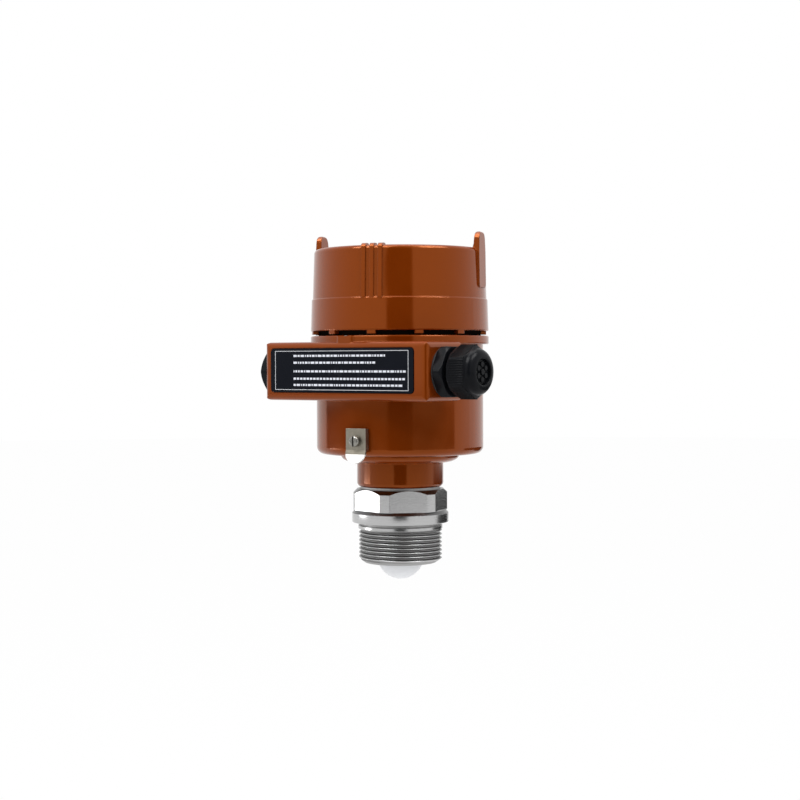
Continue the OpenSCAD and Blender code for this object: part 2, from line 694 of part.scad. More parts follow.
module module_screws() color("silver") for (az = pillar_az) at_azimuth(az)
    translate([0, -pillar_at, cup_top]) difference() {
        union() {
            cylinder(d = module_screw_d * 1.8, h = 2);
            translate([0, 0, -cup_h - 4]) cylinder(d = module_screw_d, h = cup_h + 5);
        }
        translate([-0.4, -4, 1.1]) cube([0.8, 8, 2]);
    }

module main_board() color("seagreen") difference() {
    translate([0, 0, board_z]) cylinder(d = board_d, h = board_t);
    for (az = post_az) at_azimuth(az) translate([0, -post_at, board_z - 1])
        cylinder(r = board_screw_d / 2 + seat_fit, h = board_t + 2);
}

// Capacitors, coil, converter and plug that stand on the main board
module board_parts() color("dimgray") translate([0, 0, board_z + board_t]) {
    for (x = [-9, 0]) translate([x, 9, 0]) cylinder(r = 3.6, h = 7);
    translate([-14, -7, 0]) cube([12, 9, 5]);
    translate([4, -12, 0]) cube([9, 9, 1.6]);
    translate([3, 0, 0]) cube([6, 5, 3]);
}

module board_screws() color("silver") for (az = post_az) at_azimuth(az)
    translate([0, -post_at, board_z]) {
        translate([0, 0, -1.6]) cylinder(d = board_screw_d * 1.8, h = 1.6);
        cylinder(d = board_screw_d, h = board_t + 4.5);
    }

// Flat lead between the radar board's plug and the main board
module flex_lead() color("darkgoldenrod") translate([-3.2, 7.8, horn_top + board_t + 2])
    cube([6.4, 0.4, board_z - horn_top - board_t - 2]);

module terminal_block() color("olivedrab") difference() {
    translate([-block_w / 2, -block_d / 2, cup_top]) cube([block_w, block_d, block_h]);
    for (i = [0:way_count - 1]) {
        x = (i - (way_count - 1) / 2) * way_pitch;
        translate([x - 2.2, -block_d / 2 - 1, cup_top + 2.5]) cube([4.4, 9, 4.4]);
        translate([x, 1, cup_top + 6]) cylinder(d = clamp_screw_d + 0.4, h = block_h);
    }
}

module terminal_screws() color("gold") for (i = [0:way_count - 1])
    translate([(i - (way_count - 1) / 2) * way_pitch, 1, cup_top + 6]) difference() {
        cylinder(d = clamp_screw_d, h = 5);
        translate([-0.4, -4, 4]) cube([0.8, 8, 2]);
    }

module inner_earth_screw() color("silver") translate([0, inner_earth_at, inner_earth_top + 1])
    difference() {
        union() {
            cylinder(r = 3.6, h = 2.6);
            translate([0, 0, -9.5]) cylinder(r = 2, h = 10);
        }
        translate([-4, -0.5, 1.4]) cube([8, 1, 2]);
    }

module inner_earth_washer() color("silver") translate([0, inner_earth_at, inner_earth_top])
    tube(4.3, 2.2, 1);

process_connection();
antenna_lens();
lens_seal();
horn();
horn_ring();
radar_board();
radar_chip();
connection_seal();
housing();
cap();
cap_seal();
cap_lock_screw();
label_plate();
gland_washer();
gland_body();
gland_seal();
gland_nut();
gland_plug();
blind_plug();
blind_plug_washer();
earth_clamp();
earth_spring_washer();
earth_screw();
electronics_cup();
module_screws();
main_board();
board_parts();
board_screws();
flex_lead();
terminal_block();
terminal_screws();
inner_earth_screw();
inner_earth_washer();
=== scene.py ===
# %% [markdown]
# # A radar level transmitter, finished in Blender
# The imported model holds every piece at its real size: a painted casting with a screw cap, a turned
# steel connection with a domed lens, a cable gland and a blanking plug. This lesson gives each piece
# its finish, cuts the pipe thread, turns the gland's nut with its grip ribs and prints the label. The
# frame is read first, because the places below come from it.

# %% Load the frame
import bpy
import bmesh
import json
import math
from mathutils import Matrix, Vector


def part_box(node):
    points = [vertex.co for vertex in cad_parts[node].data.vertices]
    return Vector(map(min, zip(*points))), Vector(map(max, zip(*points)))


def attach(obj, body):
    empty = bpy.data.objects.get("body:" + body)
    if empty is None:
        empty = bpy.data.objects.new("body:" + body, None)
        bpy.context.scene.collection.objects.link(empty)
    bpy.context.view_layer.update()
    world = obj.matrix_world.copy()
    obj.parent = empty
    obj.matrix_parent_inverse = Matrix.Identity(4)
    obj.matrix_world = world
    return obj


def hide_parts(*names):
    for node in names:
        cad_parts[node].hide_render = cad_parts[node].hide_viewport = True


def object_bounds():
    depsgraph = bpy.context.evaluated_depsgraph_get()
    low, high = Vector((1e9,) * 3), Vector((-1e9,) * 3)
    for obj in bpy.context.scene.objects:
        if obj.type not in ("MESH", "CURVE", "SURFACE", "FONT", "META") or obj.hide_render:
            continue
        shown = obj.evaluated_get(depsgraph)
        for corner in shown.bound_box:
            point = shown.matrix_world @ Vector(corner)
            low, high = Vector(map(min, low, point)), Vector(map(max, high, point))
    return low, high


bpy.ops.wm.read_factory_settings(use_empty=True)
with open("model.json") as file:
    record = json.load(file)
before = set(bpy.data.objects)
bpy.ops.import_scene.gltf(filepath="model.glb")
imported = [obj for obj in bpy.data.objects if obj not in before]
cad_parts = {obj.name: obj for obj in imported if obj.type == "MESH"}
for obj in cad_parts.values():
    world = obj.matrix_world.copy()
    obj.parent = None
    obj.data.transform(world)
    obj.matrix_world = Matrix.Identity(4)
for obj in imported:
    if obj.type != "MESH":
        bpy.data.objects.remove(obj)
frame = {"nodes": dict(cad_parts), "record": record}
nodes = frame["nodes"]
cad_low, cad_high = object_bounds()
MM = 0.001
print("size in mm:", [round((h - l) / MM, 1) for l, h in zip(cad_low, cad_high)])

# %% [markdown]
# ## Camera
# A product of this height is best seen from its own middle, so the camera stands level with the label,
# 36 degrees round to the gland's side. A lens of 72.5 mm at 0.93 m keeps the perspective calm. The aim
# is set by turning the camera a degree or two down, and not by shifting its lens, so that other views
# can be taken with the same camera.

# %% Camera
CAMERA_AZIMUTH = math.radians(36)
CAMERA_DISTANCE = 0.926
CAMERA_HEIGHT = 0.0928
CAMERA_PITCH = math.radians(1.42)
CAMERA_ROLL = math.radians(0.2)

scene = bpy.context.scene
camera_data = bpy.data.cameras.new("camera")
camera_data.lens = 72.5
camera_data.sensor_width = 36
camera = bpy.data.objects.new("camera", camera_data)
scene.collection.objects.link(camera)
towards_camera = Vector((math.sin(CAMERA_AZIMUTH), -math.cos(CAMERA_AZIMUTH), 0))
camera_place = towards_camera * CAMERA_DISTANCE + Vector((0, 0, CAMERA_HEIGHT))
camera.matrix_world = (Matrix.Translation(camera_place)
                       @ Matrix.Rotation(CAMERA_AZIMUTH, 4, "Z")
                       @ Matrix.Rotation(math.pi / 2 - CAMERA_PITCH, 4, "X")
                       @ Matrix.Rotation(-CAMERA_ROLL, 4, "Z"))
scene.camera = camera
print("camera at", [round(v, 3) for v in camera_place])

# %% [markdown]
# ## Node helpers
# Materials are built from nodes, so a few small helpers keep them readable: one adds a node with its
# input values, two write out a sum and a mix of colours, and one starts a material whose Principled
# shader is ready to use. Values that are the same all over a surface are set on the shader itself.

# %% Helpers for node trees
def add_node(tree, kind, values=None, **settings):
    """Adds a node, sets its properties, and sets or links its inputs by name or number."""
    node = tree.nodes.new(kind)
    for name, value in settings.items():
        setattr(node, name, value)
    for name, value in (values or {}).items():
        if isinstance(value, bpy.types.NodeSocket):
            tree.links.new(value, node.inputs[name])
        else:
            node.inputs[name].default_value = value
    return node


def maths(tree, operation, a, b=0.0, clamp=False):
    """One Math node, its result socket."""
    node = add_node(tree, "ShaderNodeMath", {0: a, 1: b}, operation=operation, use_clamp=clamp)
    return node.outputs[0]


def blend_colour(tree, mask, low, high):
    """Mixes two colours by a mask, its result socket."""
    node = add_node(tree, "ShaderNodeMix", data_type="RGBA")
    for name, value in (("Factor", mask), ("A", low), ("B", high)):
        socket = next(s for s in node.inputs
                      if s.name == name and s.type == ("VALUE" if name == "Factor" else "RGBA"))
        if isinstance(value, bpy.types.NodeSocket):
            tree.links.new(value, socket)
        else:
            socket.default_value = value
    return next(s for s in node.outputs if s.type == "RGBA")


def place_of(tree):
    """The surface point in the object's own metres."""
    return add_node(tree, "ShaderNodeTexCoord").outputs["Object"]


finishes = {}


def new_material(name, **uniform):
    """A material with a Principled shader. Uniform values are its inputs' names with underscores."""
    material = bpy.data.materials.new(name)
    finishes[name] = material
    material.use_nodes = True
    shader = material.node_tree.nodes["Principled BSDF"]
    for key, value in uniform.items():
        shader.inputs[key.replace("_", " ")].default_value = value
    return material, material.node_tree, shader


print("helpers ready")

# %% [markdown]
# ## Shared effects
# Several finishes share the same small effects: the orange peel of sprayed paint, the rings that a
# lathe leaves, the fine skin of moulded plastic, and scuffs. Each is a node group that is made once.
# A group gives out only masks and heights, and each material decides what to do with them.

# %% Node groups
def new_group(name, inputs, outputs):
    """A shader node group with float inputs that have defaults, and float outputs."""
    group = bpy.data.node_groups.new(name, "ShaderNodeTree")
    group.interface.new_socket("Place", in_out="INPUT", socket_type="NodeSocketVector")
    for label, value in inputs.items():
        socket = group.interface.new_socket(label, in_out="INPUT", socket_type="NodeSocketFloat")
        socket.default_value = value
    for label in outputs:
        group.interface.new_socket(label, in_out="OUTPUT", socket_type="NodeSocketFloat")
    return group, group.nodes.new("NodeGroupInput"), group.nodes.new("NodeGroupOutput")


def use_group(tree, group, **values):
    """Places a group in a material. The names are the group's own, with underscores."""
    node = add_node(tree, "ShaderNodeGroup", node_tree=group)
    tree.links.new(place_of(tree), node.inputs["Place"])
    for key, value in values.items():
        node.inputs[key.replace("_", " ")].default_value = value
    return node


def make_orange_peel():
    """Two sizes of soft dimples, as a sprayed and stoved paint has."""
    tree, given, made = new_group("orange_peel", {"Dimples": 900.0, "Waves": 90.0}, ["Height", "Tone"])
    fine = add_node(tree, "ShaderNodeTexNoise",
                    {"Vector": given.outputs["Place"], "Scale": given.outputs["Dimples"],
                     "Detail": 1.0})
    broad = add_node(tree, "ShaderNodeTexNoise",
                     {"Vector": given.outputs["Place"], "Scale": given.outputs["Waves"],
                      "Detail": 2.0})
    height = maths(tree, "ADD", maths(tree, "MULTIPLY", fine.outputs["Fac"], 0.35),
                   broad.outputs["Fac"])
    tree.links.new(height, made.inputs["Height"])
    tree.links.new(broad.outputs["Fac"], made.inputs["Tone"])
    return tree


def make_lathe_rings():
    """Rings round the Z axis, one family along the axis for walls and one outwards for faces."""
    tree, given, made = new_group("lathe_rings", {"Feed": 5200.0, "Wander": 60.0},
                                  ["Rings", "Tone", "Reach"])
    split = add_node(tree, "ShaderNodeSeparateXYZ", {0: given.outputs["Place"]})
    square = maths(tree, "ADD", maths(tree, "MULTIPLY", split.outputs["X"], split.outputs["X"]),
                   maths(tree, "MULTIPLY", split.outputs["Y"], split.outputs["Y"]))
    reach = maths(tree, "SQRT", square)
    along = maths(tree, "ADD", split.outputs["Z"], reach)
    feed = maths(tree, "MULTIPLY", along, given.outputs["Feed"])
    stripes = add_node(tree, "ShaderNodeTexNoise", {"W": feed, "Scale": 1.0, "Detail": 3.0},
                       noise_dimensions="1D")
    tone = add_node(tree, "ShaderNodeTexNoise",
                    {"Vector": given.outputs["Place"], "Scale": given.outputs["Wander"],
                     "Detail": 3.0})
    tree.links.new(stripes.outputs["Fac"], made.inputs["Rings"])
    tree.links.new(reach, made.inputs["Reach"])
    tree.links.new(tone.outputs["Fac"], made.inputs["Tone"])
    return tree


def make_moulded_skin():
    """The fine spark-eroded grain of a plastic mould, with a slow drift in gloss."""
    tree, given, made = new_group("moulded_skin", {"Grain": 2600.0, "Drift": 110.0}, ["Height", "Tone"])
    grain = add_node(tree, "ShaderNodeTexNoise",
                     {"Vector": given.outputs["Place"], "Scale": given.outputs["Grain"],
                      "Detail": 2.0})
    drift = add_node(tree, "ShaderNodeTexNoise",
                     {"Vector": given.outputs["Place"], "Scale": given.outputs["Drift"],
                      "Detail": 2.0})
    tree.links.new(grain.outputs["Fac"], made.inputs["Height"])
    tree.links.new(drift.outputs["Fac"], made.inputs["Tone"])
    return tree


def make_scuffs():
    """Short crossed scratches and worn patches on handled metal."""
    tree, given, made = new_group("scuffs", {"Length": 240.0, "Patches": 420.0}, ["Scratches", "Patches"])
    drawn = add_node(tree, "ShaderNodeMapping", {"Vector": given.outputs["Place"],
                                                 "Rotation": (0.5, 0.7, 0.9),
                                                 "Scale": (1.0, 9.0, 4.0)})
    scratches = add_node(tree, "ShaderNodeTexNoise",
                         {"Vector": drawn.outputs[0], "Scale": given.outputs["Length"],
                          "Detail": 5.0, "Roughness": 0.65})
    patches = add_node(tree, "ShaderNodeTexNoise",
                       {"Vector": given.outputs["Place"], "Scale": given.outputs["Patches"],
                        "Detail": 4.0})
    tree.links.new(scratches.outputs["Fac"], made.inputs["Scratches"])
    tree.links.new(patches.outputs["Fac"], made.inputs["Patches"])
    return tree


orange_peel = make_orange_peel()
lathe_rings = make_lathe_rings()
moulded_skin = make_moulded_skin()
scuffs = make_scuffs()
print("node groups:", [group.name for group in bpy.data.node_groups])

# %% [markdown]
# ## Finishing helpers
# Every finish needs the same two last steps. The tone of a pattern turns into a range of roughness,
# and its height turns into a Bump. A Bevel node before the bump rounds the shading of sharp cast and
# machined edges, so that each edge catches a line of light as a real one does.

# %% Roughness and relief
def ranged(tree, mask, low, high):
    """Spreads the middle of a noise over a range."""
    node = add_node(tree, "ShaderNodeMapRange", {"Value": mask, "From Min": 0.3, "From Max": 0.7,
                                                 "To Min": low, "To Max": high})
    return node.outputs[0]


def relief(tree, shader, height, depth, edge):
    """Bump of a depth in metres over edges rounded to a radius in metres."""
    normal = add_node(tree, "ShaderNodeBevel", {"Radius": edge}, samples=6).outputs["Normal"]
    bump = add_node(tree, "ShaderNodeBump", {"Height": height, "Strength": 1.0, "Distance": depth,
                                             "Normal": normal})
    tree.links.new(bump.outputs["Normal"], shader.inputs["Normal"])


print("finishing helpers ready")

# %% [markdown]
# ## Paint
# The casting and its cap are aluminium under a thick, glossy orange-brown stoving paint. Nearly all of
# its character is in the reflections, so the paint is smooth, with a hard clear skin over a saturated
# colour, a slight orange peel, and a slow drift in tone. The rim that the cap screws on to carries
# painted shade: it is nearly black and without shine, so the gap under the cap reads dark.

# %% Paint
PAINT_DEEP = (0.125, 0.0185, 0.0006, 1)
PAINT_LIGHT = (0.14, 0.0215, 0.0008, 1)
PAINT_TINT = (1, 0.32, 0.1, 1)
PAINT_IOR = 1.8
PAINT_SHINE = 0.55
PAINT_EDGE = 0.6 * MM
PEEL_DEPTH = 0.006 * MM
# Painted shade: the rim in the gap under the cap is coloured nearly black.
GAP_SHADE_COLOUR = (0.012, 0.008, 0.006, 1)
RIM_REACH = 47.4 * MM
RIM_SHADE_FROM = 105.2 * MM


def make_paint(name, shade_from=None):
    """Stoved paint. Above the height given, within the rim, painted shade: a nearly black colour without
    shine, for the gap under the cap.
    """
    material, tree, shader = new_material(name, IOR=PAINT_IOR, Specular_IOR_Level=PAINT_SHINE,
                                          Specular_Tint=PAINT_TINT)
    peel = use_group(tree, orange_peel)
    colour = blend_colour(tree, peel.outputs["Tone"], PAINT_DEEP, PAINT_LIGHT)
    if shade_from:
        # Painted shade: above the height given and within the rim, a dark colour and no shine.
        split = add_node(tree, "ShaderNodeSeparateXYZ", {0: place_of(tree)})
        flat = add_node(tree, "ShaderNodeCombineXYZ", {0: split.outputs["X"], 1: split.outputs["Y"]})
        reach = add_node(tree, "ShaderNodeVectorMath", {0: flat.outputs[0]}, operation="LENGTH")
        gap_shade = maths(tree, "MULTIPLY", maths(tree, "GREATER_THAN", split.outputs["Z"], shade_from),
                     maths(tree, "LESS_THAN", reach.outputs["Value"], RIM_REACH))
        colour = blend_colour(tree, gap_shade, colour, GAP_SHADE_COLOUR)
        shine = maths(tree, "MULTIPLY", maths(tree, "SUBTRACT", 1.0, gap_shade), PAINT_SHINE)
        tree.links.new(shine, shader.inputs["Specular IOR Level"])
    tree.links.new(colour, shader.inputs["Base Color"])
    tree.links.new(ranged(tree, peel.outputs["Tone"], 0.1, 0.14), shader.inputs["Roughness"])
    relief(tree, shader, peel.outputs["Height"], PEEL_DEPTH, PAINT_EDGE)
    return material


housing_paint = make_paint("housing_paint", shade_from=RIM_SHADE_FROM)
cap_paint = make_paint("cap_paint")
print("paints:", housing_paint.name, cap_paint.name)

# %% [markdown]
# ## Steel
# The connection is turned stainless steel. A lathe leaves fine rings that spread a reflection up and
# down, so the steel is anisotropic, its roughness follows the rings, and its bump is a few thousandths
# of a millimetre deep. The threaded piece carries painted shade: it is greyer and rougher in the
# thread's roots and grooves, and dark grey on what faces up, such as its chamfers. Screws and the
# plated clamp are scuffed, and the clamp's tab carries a painted highlight, coloured near white.

# %% Steel finishes
# Painted shade: greyer steel in the thread's roots and grooves, and dark grey on upward faces.
ROOT_SHADE_GREY = (0.4, 0.397, 0.394, 1)
UPWARD_SHADE_GREY = (0.12, 0.12, 0.12, 1)
ROOT_DULLNESS = 0.3
UPWARD_FROM, UPWARD_FULL = 0.35, 0.5
RING_SHADE = 0.94
RING_DEPTH, RING_EDGE = 0.004 * MM, 0.25 * MM
# Painted highlight: the clamp's tab is coloured near white below TAB_TOP.
TAB_HIGHLIGHT_WHITE = (0.97, 0.955, 0.93, 1)
TAB_TOP = 41.3 * MM


def make_turned_steel(name, grey, low, high, spread, root_shade_full=None, root_shade_end=None):
    """Steel with a lathe's rings. Given the two radii, it has painted shade: greyer and rougher nearer
    the axis, as in a thread's root, and dark grey where it faces up.
    """
    material, tree, shader = new_material(name, Metallic=1.0, Anisotropic=spread)
    rings = use_group(tree, lathe_rings)
    colour = blend_colour(tree, rings.outputs["Tone"], (*[g * RING_SHADE for g in grey], 1), (*grey, 1))
    if root_shade_full:
        # Painted shade: the metal turns greyer nearer the axis, in the thread's roots and grooves.
        root_unshaded = add_node(tree, "ShaderNodeMapRange",
                          {"Value": rings.outputs["Reach"], "From Min": root_shade_full,
                           "From Max": root_shade_end}, interpolation_type="SMOOTHSTEP")
        colour = blend_colour(tree, root_unshaded.outputs[0], ROOT_SHADE_GREY, colour)
        # Painted shade: faces that point up are coloured dark grey.
        facing = add_node(tree, "ShaderNodeSeparateXYZ",
                          {0: add_node(tree, "ShaderNodeNewGeometry").outputs["True Normal"]})
        upward = add_node(tree, "ShaderNodeMapRange",
                          {"Value": facing.outputs["Z"], "From Min": UPWARD_FROM,
                           "From Max": UPWARD_FULL})
        colour = blend_colour(tree, upward.outputs[0], colour, UPWARD_SHADE_GREY)
    tree.links.new(colour, shader.inputs["Base Color"])
    gloss = ranged(tree, rings.outputs["Rings"], low, high)
    if root_shade_full:
        dull = maths(tree, "MULTIPLY", maths(tree, "SUBTRACT", 1.0, root_unshaded.outputs[0]), ROOT_DULLNESS)
        gloss = maths(tree, "ADD", gloss, dull)
    tree.links.new(gloss, shader.inputs["Roughness"])
    tangent = add_node(tree, "ShaderNodeTangent", direction_type="RADIAL", axis="Z")
    tree.links.new(tangent.outputs[0], shader.inputs["Tangent"])
    relief(tree, shader, rings.outputs["Rings"], RING_DEPTH, RING_EDGE)
    return material


def make_scuffed_metal(name, clean, dull, low, high, depth, edge, highlight_below=None):
    """Handled metal with scratches and dull patches. Below the height given, a painted highlight turns it
    near white.
    """
    material, tree, shader = new_material(name, Metallic=1.0)
    marks = use_group(tree, scuffs)
    colour = blend_colour(tree, marks.outputs["Patches"], (*dull, 1), (*clean, 1))
    if highlight_below:
        # Painted highlight: below the height given, the colour turns near white.
        split = add_node(tree, "ShaderNodeSeparateXYZ", {0: place_of(tree)})
        tab_highlight = maths(tree, "LESS_THAN", split.outputs["Z"], highlight_below)
        colour = blend_colour(tree, tab_highlight, colour, TAB_HIGHLIGHT_WHITE)
    tree.links.new(colour, shader.inputs["Base Color"])
    tree.links.new(ranged(tree, marks.outputs["Scratches"], low, high), shader.inputs["Roughness"])
    relief(tree, shader, marks.outputs["Scratches"], depth, edge)
    return material


stainless = make_turned_steel("stainless", (0.64, 0.635, 0.63), 0.12, 0.22, 0.4)
thread_steel = make_turned_steel("thread_steel", (0.5, 0.5, 0.5), 0.16, 0.28, 0.35,
                                 root_shade_full=22.3 * MM, root_shade_end=23.7 * MM)
make_turned_steel("stainless_plain", (0.6, 0.6, 0.6), 0.25, 0.4, 0.3)
screw_steel = make_scuffed_metal("screw_steel", (0.34, 0.33, 0.3), (0.22, 0.21, 0.19),
                                 0.22, 0.42, 0.00001, 0.0002)
plated_steel = make_scuffed_metal("plated_steel", (0.36, 0.33, 0.27), (0.2, 0.18, 0.145),
                                  0.3, 0.5, 0.00003, 0.00025, highlight_below=TAB_TOP)
make_scuffed_metal("terminal_brass", (0.74, 0.56, 0.26), (0.55, 0.4, 0.17),
                   0.25, 0.45, 0.00001, 0.0002)
print("steels:", stainless.name, screw_steel.name, plated_steel.name)

# %% [markdown]
# ## Plastics and rubber
# Moulded parts share one recipe: a colour that drifts a little, a grain from the mould, and soft
# edges. The gland is a smooth black nylon, the lens a white fluoropolymer that lets a little light in,
# and the seals are matt rubber.

# %% Plastics
def make_moulded(name, colour, low, high, depth=0.000008, edge=0.0004, drift=0.25, **uniform):
    """A moulded part's finish. The colour darkens by up to the share that drift gives."""
    material, tree, shader = new_material(name, **uniform)
    skin = use_group(tree, moulded_skin)
    darker = tuple(c * (1 - drift) for c in colour)
    mixed = blend_colour(tree, skin.outputs["Tone"], (*darker, 1), (*colour, 1))
    tree.links.new(mixed, shader.inputs["Base Color"])
    tree.links.new(ranged(tree, skin.outputs["Tone"], low, high), shader.inputs["Roughness"])
    relief(tree, shader, skin.outputs["Height"], depth, edge)
    return material


nylon = make_moulded("nylon", (0.005, 0.0055, 0.007), 0.2, 0.27, edge=0.0006,
                     Specular_IOR_Level=0.08)
make_moulded("seal", (0.016, 0.016, 0.017), 0.55, 0.7)
lens_white = make_moulded("lens", (0.66, 0.67, 0.69), 0.3, 0.4, drift=0.03, depth=0.000004,
                          Subsurface_Weight=0.25, Subsurface_Radius=(0.004, 0.004, 0.004),
                          Subsurface_Scale=1.0)
label_black = make_moulded("label", (0.003, 0.0042, 0.008), 0.2, 0.28, edge=0.0002,
                           Specular_IOR_Level=0.09)
row_grey = make_moulded("label_rows", (0.74, 0.76, 0.84), 0.4, 0.5, depth=0.000002, edge=0.00002,
                        drift=0.3)
print_grey = make_moulded("label_print", (0.62, 0.63, 0.66), 0.4, 0.5, depth=0.000002, edge=0.00002,
                          drift=0.12)
make_moulded("cup_plastic", (0.03, 0.034, 0.04), 0.4, 0.55)
make_moulded("component", (0.03, 0.03, 0.032), 0.35, 0.5)
make_moulded("board", (0.02, 0.17, 0.07), 0.25, 0.35, depth=0.000003)
make_moulded("film", (0.45, 0.25, 0.05), 0.2, 0.35, depth=0.000002)
make_moulded("terminal_plastic", (0.06, 0.24, 0.07), 0.35, 0.5)
print("plastics:", nylon.name, lens_white.name, label_black.name)

# %% [markdown]
# ## Dressing the CAD nodes
# The record says which material slot each node takes. The finishes above carry the slots' names, so
# one loop puts them on, and no node is left with its plain packed colour.

# %% Materials on the nodes
for row in frame["record"]["subparts"]:
    piece = nodes[row["node"]]
    for index in range(len(piece.data.materials)):
        piece.data.materials[index] = finishes[row["material_slot"]]

# %% [markdown]
# ## Making a piece
# A new piece is modelled in a bmesh and stored as an object at the origin, with its place in its mesh,
# just as the CAD nodes are. One function closes the bmesh, sets smooth shading with sharp edges by
# angle, and makes the piece ride on its body.

# %% Store a piece
def store(name, bm, material, body, sharp=32):
    """Turns a bmesh into an object that rides on a CAD body."""
    bmesh.ops.recalc_face_normals(bm, faces=bm.faces[:])
    mesh = bpy.data.meshes.new(name)
    for face in bm.faces:
        face.smooth = True
    for edge in bm.edges:
        edge.smooth = len(edge.link_faces) == 2 and edge.calc_face_angle(0) < math.radians(sharp)
    bm.to_mesh(mesh)
    bm.free()
    mesh.materials.append(material)
    piece = bpy.data.objects.new(name, mesh)
    scene.collection.objects.link(piece)
    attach(piece, body)
    print(name, "has", len(mesh.polygons), "faces")
    return piece


def rounded_bar(bm, size, radius, segments=2):
    """A closed bar about the origin with all its edges rounded, its vertices."""
    made = bmesh.ops.create_cube(bm, size=1.0, matrix=Matrix.Diagonal((*size, 1)))
    edges = list({edge for vert in made["verts"] for edge in vert.link_edges})
    result = bmesh.ops.bevel(bm, geom=edges, offset=radius, segments=segments, affect="EDGES",
                             profile=0.5, material=-1)
    verts = {v for v in made["verts"] if v.is_valid}
    verts |= {v for face in result["faces"] for v in face.verts}
    return list(verts)


print("piece helpers ready")

# %% [markdown]
# ## The process thread
# The CAD piece carries a plain cylinder over the thread's crests. A thread is one flank profile wound
# down a helix, so the cylinder's faces are taken off a copy of the node and a chain of edges, one
# pitch long, is spun round the axis. Its dvec lowers each step by a share of the pitch, so that each
# turn's end meets the next turn's start and the turns merge into one skin. The skin is cut flat under
# the relief groove, and the chamfer's cone limits its radius at the end. A groove under the flange,
# which the CAD piece leaves out, is turned into the land.

# %% Cut the thread
THREAD_TOP = -4.6 * MM
THREAD_END = -23.2 * MM
CREST_R = 23.9 * MM
ROOT_R = 22.4 * MM
PITCH = 25.4 / 11 * MM
CHAMFER_TOP = -20.8 * MM
CHAMFER_SLOPE = 3.4 / 2.4
STEPS_A_TURN = 96
LAND_R, LAND_CUT_R, LAND_CUT_W = 24.2 * MM, 22.6 * MM, 1.9 * MM
LAND_CUT_SLOPE = 0.04 * MM
SPIGOT_OUTSIDE = 20.4 * MM
RIM_TUCK = 0.2 * MM
ON_WALL, CLOSE = 0.02 * MM, 0.001 * MM
FLANK = ((-0.5, 0), (-0.42, 0.06), (-0.34, 0.3), (-0.17, 1.14), (-0.09, 1.42), (0, 1.5),
         (0.09, 1.42), (0.17, 1.14), (0.34, 0.3), (0.42, 0.06), (0.5, 0))


def chamfer_reach(z):
    """How far from the axis the end chamfer lets metal stand at a height."""
    return CREST_R - max(0.0, CHAMFER_TOP - z) * CHAMFER_SLOPE


def cut_land(bm):
    """Turns the narrow groove between the sealing face and the land."""
    for height in (-LAND_CUT_W, -LAND_CUT_W - LAND_CUT_SLOPE):
        wall = [f for f in bm.faces if all(abs(v.co.xy.length - LAND_R) < ON_WALL for v in f.verts)]
        geom = wall + list({e for f in wall for e in f.edges}) + list({v for f in wall for v in f.verts})
        bmesh.ops.bisect_plane(bm, geom=geom, plane_co=(0, 0, height), plane_no=(0, 0, 1), dist=1e-7)
    for vert in bm.verts:
        if abs(vert.co.xy.length - LAND_R) < ON_WALL and vert.co.z > -LAND_CUT_W - CLOSE:
            vert.co.xy *= LAND_CUT_R / LAND_R


def wind_thread(bm):
    """Adds the thread's skin to the bmesh."""
    old_verts, old_edges, old_faces = set(bm.verts), set(bm.edges), set(bm.faces)
    turns = math.ceil((THREAD_TOP - THREAD_END) / PITCH) + 2
    top = THREAD_TOP + PITCH
    chain = [bm.verts.new((ROOT_R + out * MM, 0, top - share * PITCH)) for share, out in FLANK]
    edges = [bm.edges.new(pair) for pair in zip(chain, chain[1:])]
    bmesh.ops.spin(bm, geom=chain + edges, cent=(0, 0, 0), axis=(0, 0, 1), steps=STEPS_A_TURN * turns,
                   dvec=(0, 0, -PITCH / STEPS_A_TURN), angle=math.tau * turns,
                   use_merge=False, use_duplicate=False)
    bmesh.ops.remove_doubles(bm, verts=[v for v in bm.verts if v not in old_verts], dist=CLOSE)
    for vert in bm.verts:
        if vert not in old_verts:
            reach = vert.co.xy.length
            vert.co.xy *= min(reach, chamfer_reach(vert.co.z)) / reach
    for height, up in ((THREAD_TOP, 1), (THREAD_END, -1)):
        geom = [item for new, old in ((bm.verts, old_verts), (bm.edges, old_edges), (bm.faces, old_faces))
                for item in new if item not in old]
        bmesh.ops.bisect_plane(bm, geom=geom, plane_co=(0, 0, height), plane_no=(0, 0, up), dist=1e-7,
                               clear_outer=True)
    rim = [e for e in bm.edges if e.is_boundary and e not in old_edges
           and all(abs(v.co.z - THREAD_TOP) < CLOSE for v in e.verts)]
    made = bmesh.ops.extrude_edge_only(bm, edges=rim)["geom"]
    for vert in (item for item in made if isinstance(item, bmesh.types.BMVert)):
        vert.co.xy *= (ROOT_R - RIM_TUCK) / vert.co.xy.length


bm = bmesh.new()
bm.from_mesh(nodes["process_connection"].data)
bmesh.ops.remove_doubles(bm, verts=bm.verts[:], dist=CLOSE)
bmesh.ops.dissolve_limit(bm, angle_limit=math.radians(0.2), verts=bm.verts[:], edges=bm.edges[:])
cut_land(bm)
plain = [f for f in bm.faces if all(v.co.xy.length > SPIGOT_OUTSIDE and v.co.z < THREAD_TOP + CLOSE
                                    for v in f.verts)]
bmesh.ops.delete(bm, geom=plain, context="FACES")
wind_thread(bm)
threaded = store("threaded_connection", bm, thread_steel, "root", sharp=20)
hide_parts("process_connection")
print("thread of", round((THREAD_TOP - THREAD_END) / PITCH, 1), "turns")

# %% [markdown]
# ## The gland's nut
# The nut is turned first and its flats are cut after: a closed profile is spun round the entry's axis
# and six planes slice the lobes off, each slice filled again. Rounded ribs lie side by side on every
# flat for grip, and the free end runs out in a smooth dome.

